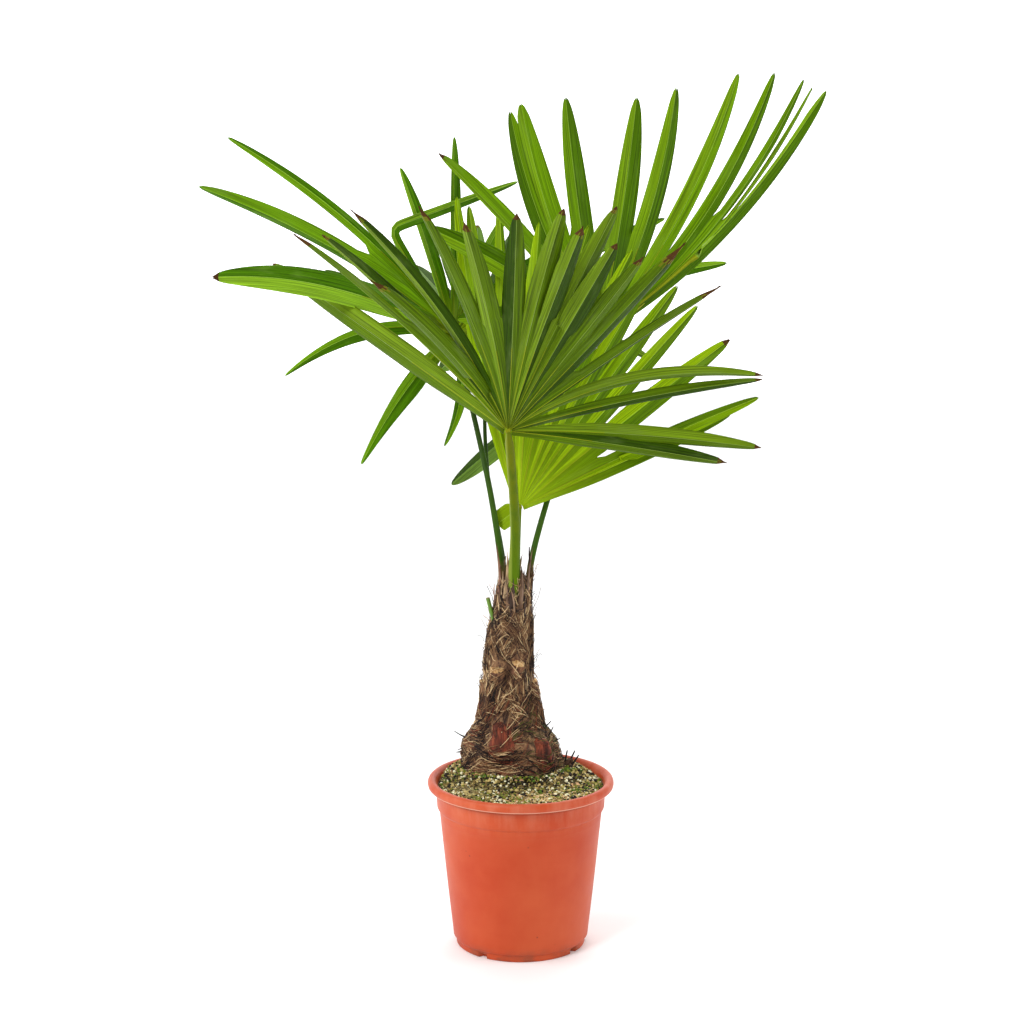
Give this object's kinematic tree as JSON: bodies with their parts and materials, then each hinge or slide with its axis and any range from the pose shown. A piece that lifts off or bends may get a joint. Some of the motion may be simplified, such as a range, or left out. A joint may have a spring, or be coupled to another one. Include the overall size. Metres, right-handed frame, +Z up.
{
  "type": "potted windmill palm",
  "caption": "Young windmill palm with a shaggy tapering trunk and pleated fan fronds on slim petioles, standing in a round nursery pot filled with mossy soil.",
  "frame": {"origin": "centre of the pot's flat underside, on the surface it stands on", "axes": "+Z up along the pot's axis; +X to the right and -Y towards the viewer, as the plant is seen from the front"},
  "size_m": [0.8, 0.8624, 1.1115],
  "materials": {
    "pot": "satin terracotta plastic, scuffed",
    "soil": "mossy crumbled compost",
    "trunk": "matted brown fibre",
    "leaf_base": "dry cut leaf bases",
    "sheath": "ragged fibre sheath",
    "petiole": "smooth green stalk",
    "frond": "leathery pleated leaf"
  },
  "bodies": {
    "root": {"pot": "pot", "soil": "soil", "trunk": "trunk", "leaf_base_1": "leaf_base", "leaf_base_2": "leaf_base", "leaf_base_3": "leaf_base", "leaf_base_4": "leaf_base", "leaf_base_5": "leaf_base", "leaf_base_6": "leaf_base", "leaf_base_7": "leaf_base", "leaf_base_8": "leaf_base", "leaf_base_9": "leaf_base", "sheath_1": "sheath", "sheath_2": "sheath", "sheath_3": "sheath", "cut_stub": "petiole", "petiole_front": "petiole", "blade_front": "frond", "petiole_right": "petiole", "blade_right": "frond", "petiole_low": "petiole", "blade_low": "frond", "petiole_left": "petiole", "blade_left": "frond", "petiole_back": "petiole", "blade_back": "frond"}
  },
  "joints": []
}
